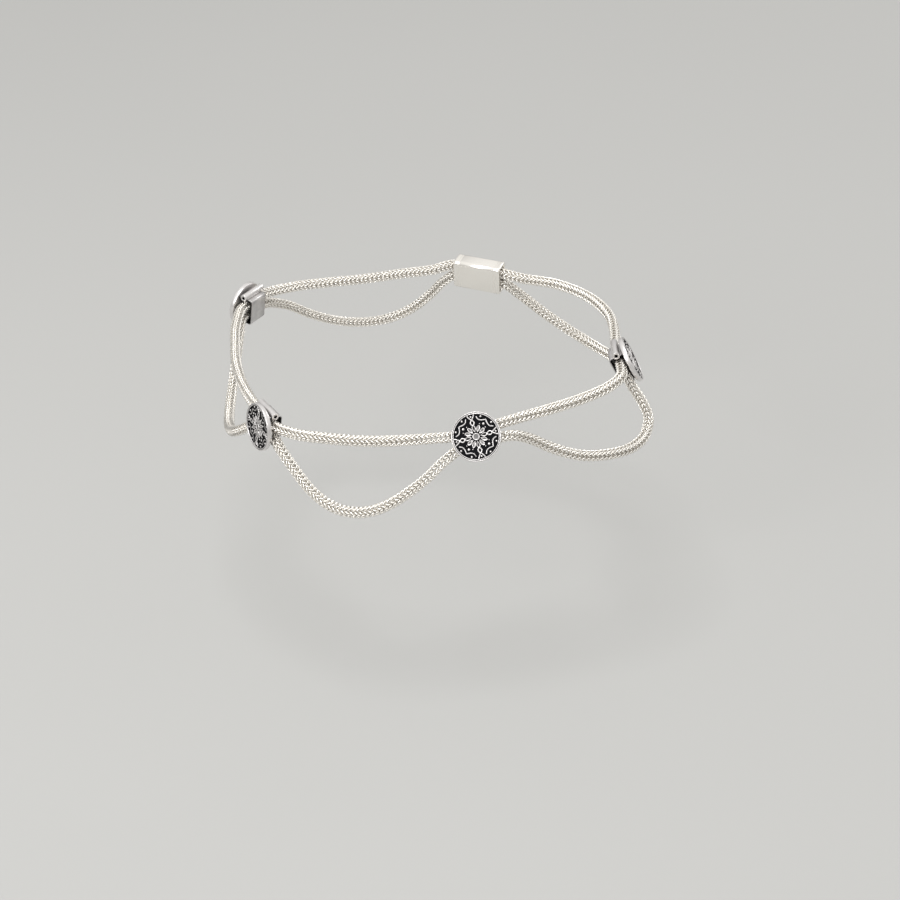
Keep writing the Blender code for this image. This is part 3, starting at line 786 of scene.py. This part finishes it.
def silver_material(name, silver, dark, roughness, dark_roughness, scratch_scale, scratch_depth):
    """Worn silver: colour and roughness from the share of painted shade and patina, and a bump of fine
    scratches.
    """
    material = bpy.data.materials.new(name)
    material.use_nodes = True
    tree = material.node_tree
    shader = tree.nodes["Principled BSDF"]
    shader.inputs["Metallic"].default_value = 1.0
    position = add_node(tree, "ShaderNodeTexCoord").outputs["Object"]
    shade_and_patina = add_node(tree, "ShaderNodeAttribute", {"attribute_name": "shade_and_patina"}).outputs["Fac"]
    wear = tree.nodes.new("ShaderNodeGroup")
    wear.node_tree = wear_and_shade_group()
    scratches = tree.nodes.new("ShaderNodeGroup")
    scratches.node_tree = scratch_group()
    tree.links.new(position, wear.inputs["Position"])
    tree.links.new(shade_and_patina, wear.inputs["Shade and patina"])
    tree.links.new(position, scratches.inputs["Position"])
    wear.inputs["Silver"].default_value = (*silver, 1.0)
    wear.inputs["Dark"].default_value = (*dark, 1.0)
    wear.inputs["Silver roughness"].default_value = roughness
    wear.inputs["Dark roughness"].default_value = dark_roughness
    scratches.inputs["Scale"].default_value = scratch_scale
    bump = add_node(tree, "ShaderNodeBump", Strength=0.25, Distance=scratch_depth,
                    Height=scratches.outputs["Height"])
    tree.links.new(wear.outputs["Color"], shader.inputs["Base Color"])
    tree.links.new(wear.outputs["Roughness"], shader.inputs["Roughness"])
    tree.links.new(bump.outputs["Normal"], shader.inputs["Normal"])
    return material


class ANKLET_OT_add_chains(bpy.types.Operator):
    """Make both foxtail chains, link by link, along their strands"""

    bl_idname = "anklet.add_chains"
    bl_label = "Add chains"

    def execute(self, context):
        """Build each chain and put it in place of its plain solid."""
        finish = context.scene.anklet_finish
        material = silver_material("bright_silver_links", finish.bright, finish.shade_and_tarnish, 0.26, 0.5,
                                   2600.0, 0.01 * MM)
        for node, route, side in (("chain_upper", UPPER_ROUTE, 1), ("chain_lower", LOWER_ROUTE, -1)):
            points, quads, shade_and_patina = make_links(route, side, context.scene.anklet_chain)
            surface = points, quads, np.empty((0, 3), int), shade_and_patina
            add_piece(node + "_links", surface, material, node)
        return {"FINISHED"}


class ANKLET_OT_add_rosettes(bpy.types.Operator):
    """Make the four rosettes with their relief, strap and rolled edge"""

    bl_idname = "anklet.add_rosettes"
    bl_label = "Add rosettes"

    def execute(self, context):
        """Build one rosette and put a copy at each of its places."""
        finish, sizes = context.scene.anklet_finish, context.scene.anklet_rosette
        # The dark colour is the field's oxide, and also paints shade on the drum's back, the strap and the
        # roll's bore
        material = silver_material("oxidised_silver_relief_and_painted_shade", finish.rubbed, finish.oxide_and_shade, 0.24, 0.55,
                                   1500.0, 0.012 * MM)
        points, quads, triangles, shade_and_patina = joined(make_drum(sizes), make_strap(sizes), make_roll(sizes))
        for node in HOLDERS:
            if node.startswith("rosette"):
                surface = placed(node, points), quads, triangles, shade_and_patina
                add_piece(node + "_cast", surface, material, node)
        return {"FINISHED"}


class ANKLET_OT_add_clasp(bpy.types.Operator):
    """Make the plain bar clasp that both chains run into"""

    bl_idname = "anklet.add_clasp"
    bl_label = "Add clasp"

    def execute(self, context):
        """Build the bar and put it in place of its plain solid."""
        finish = context.scene.anklet_finish
        material = silver_material("polished_silver_bar", finish.bright, finish.shade_and_tarnish, 0.12, 0.4,
                                   1100.0, 0.012 * MM)
        points, quads, triangles, shade_and_patina = make_clasp(context.scene.anklet_clasp)
        surface = placed("clasp", points), quads, triangles, shade_and_patina
        add_piece("clasp_bar", surface, material, "clasp")
        return {"FINISHED"}


class ANKLET_OT_add_studio(bpy.types.Operator):
    """Make the pale floor, the soft lights and the camera"""

    bl_idname = "anklet.add_studio"
    bl_label = "Add studio"

    def execute(self, context):
        """Build the stage round the anklet."""
        scene = context.scene
        add_floor(scene.anklet_finish.floor)
        add_lights(scene)
        add_camera(scene)
        return {"FINISHED"}


def add_floor(colour, height=-62.0 * MM, reach=6.0):
    """A wide level floor below the anklet, with a faint mottling."""
    material = bpy.data.materials.new("studio_floor")
    material.use_nodes = True
    tree = material.node_tree
    shader = tree.nodes["Principled BSDF"]
    shader.inputs["Roughness"].default_value = 0.85
    position = add_node(tree, "ShaderNodeTexCoord").outputs["Object"]
    noise = add_node(tree, "ShaderNodeTexNoise", Vector=position, Scale=6.0, Detail=2.0)
    ramp = add_node(tree, "ShaderNodeMix", {"data_type": "RGBA"})
    tree.links.new(noise.outputs["Fac"], ramp.inputs["Factor"])
    ramp.inputs[6].default_value = (*(0.97 * channel for channel in colour), 1.0)
    ramp.inputs[7].default_value = (*colour, 1.0)
    tree.links.new(ramp.outputs[2], shader.inputs["Base Color"])
    mesh = bpy.data.meshes.new("floor")
    corners = [
        (-reach, -reach, height), (reach, -reach, height), (reach, reach, height), (-reach, reach, height),
    ]
    mesh.from_pydata(corners, [], [(0, 1, 2, 3)])
    mesh.materials.append(material)
    floor = bpy.data.objects.new("floor", mesh)
    bpy.context.scene.collection.objects.link(floor)


def add_lights(scene):
    """A pale surrounding and three wide soft lamps: above, front left and back right."""
    world = bpy.data.worlds.new("studio_air")
    world.use_nodes = True
    tree = world.node_tree
    height = add_node(tree, "ShaderNodeSeparateXYZ",
                      Vector=add_node(tree, "ShaderNodeTexCoord").outputs["Generated"]).outputs["Z"]
    share = add_node(tree, "ShaderNodeMapRange", {"interpolation_type": "SMOOTHSTEP"}, Value=height,
                     From_Min=-0.1, From_Max=0.8, To_Min=0.56, To_Max=0.94)
    air = tree.nodes["Background"]
    air.inputs["Color"].default_value = (1.0, 0.99, 0.97, 1.0)
    tree.links.new(share.outputs["Result"], air.inputs["Strength"])
    scene.world = world
    scene.view_settings.view_transform = "Standard"
    lamps = (
        ("top_lamp", (-0.10, -0.15, 0.75), (-0.20, -0.13, 0.0), 0.35, 2.2),
        ("front_lamp", (-0.50, -0.60, 0.45), (1.05, 0.0, -0.69), 0.30, 2.2),
        ("back_lamp", (0.60, 0.45, 0.40), (1.08, 0.0, 2.21), 0.30, 0.6),
    )
    for name, place, turn, size, power in lamps:
        lamp = bpy.data.lights.new(name, "AREA")
        lamp.shape = "DISK"
        lamp.size = size
        lamp.energy = power
        item = bpy.data.objects.new(name, lamp)
        item.location = place
        item.rotation_euler = turn
        scene.collection.objects.link(item)


def add_camera(scene):
    """The camera, looking down at the anklet from in front."""
    lens = bpy.data.cameras.new("camera")
    lens.sensor_width = 36.0
    lens.lens = CAMERA_LENS
    lens.clip_start = 0.01
    camera = bpy.data.objects.new("camera", lens)
    camera.location = CAMERA_PLACE
    camera.rotation_euler = (np.radians(90.0 - CAMERA_ELEVATION), 0.0, 0.0)
    scene.collection.objects.link(camera)
    scene.camera = camera


class ANKLET_PT_maker(bpy.types.Panel):
    """The anklet's operators and settings"""

    bl_label = "Anklet"
    bl_idname = "ANKLET_PT_maker"
    bl_space_type = "VIEW_3D"
    bl_region_type = "UI"
    bl_category = "Anklet"

    def draw(self, context):
        """List each operator above the settings it reads."""
        groups = (
            ("anklet.add_chains", "anklet_chain"),
            ("anklet.add_rosettes", "anklet_rosette"),
            ("anklet.add_clasp", "anklet_clasp"),
            ("anklet.add_studio", "anklet_finish"),
        )
        for operator, settings in groups:
            box = self.layout.box()
            box.operator(operator)
            group = getattr(context.scene, settings)
            for name in group.__annotations__:
                box.prop(group, name)


CLASSES = (
    AnkletChainSettings,
    AnkletRosetteSettings,
    AnkletClaspSettings,
    AnkletFinishSettings,
    ANKLET_OT_add_chains,
    ANKLET_OT_add_rosettes,
    ANKLET_OT_add_clasp,
    ANKLET_OT_add_studio,
    ANKLET_PT_maker,
)

SETTINGS = {
    "anklet_chain": AnkletChainSettings,
    "anklet_rosette": AnkletRosetteSettings,
    "anklet_clasp": AnkletClaspSettings,
    "anklet_finish": AnkletFinishSettings,
}


def register():
    """Register every class and hang the settings on the scene."""
    for item in CLASSES:
        bpy.utils.register_class(item)
    for name, group in SETTINGS.items():
        setattr(bpy.types.Scene, name, bpy.props.PointerProperty(type=group))


def unregister():
    """Take the settings and classes away again."""
    for name in SETTINGS:
        delattr(bpy.types.Scene, name)
    for item in reversed(CLASSES):
        bpy.utils.unregister_class(item)


def main():
    """Make the whole anklet and its studio."""
    register()
    bpy.ops.anklet.add_chains()
    bpy.ops.anklet.add_rosettes()
    bpy.ops.anklet.add_clasp()
    bpy.ops.anklet.add_studio()
    bpy.context.view_layer.update()


if __name__ == "__main__":
    main()
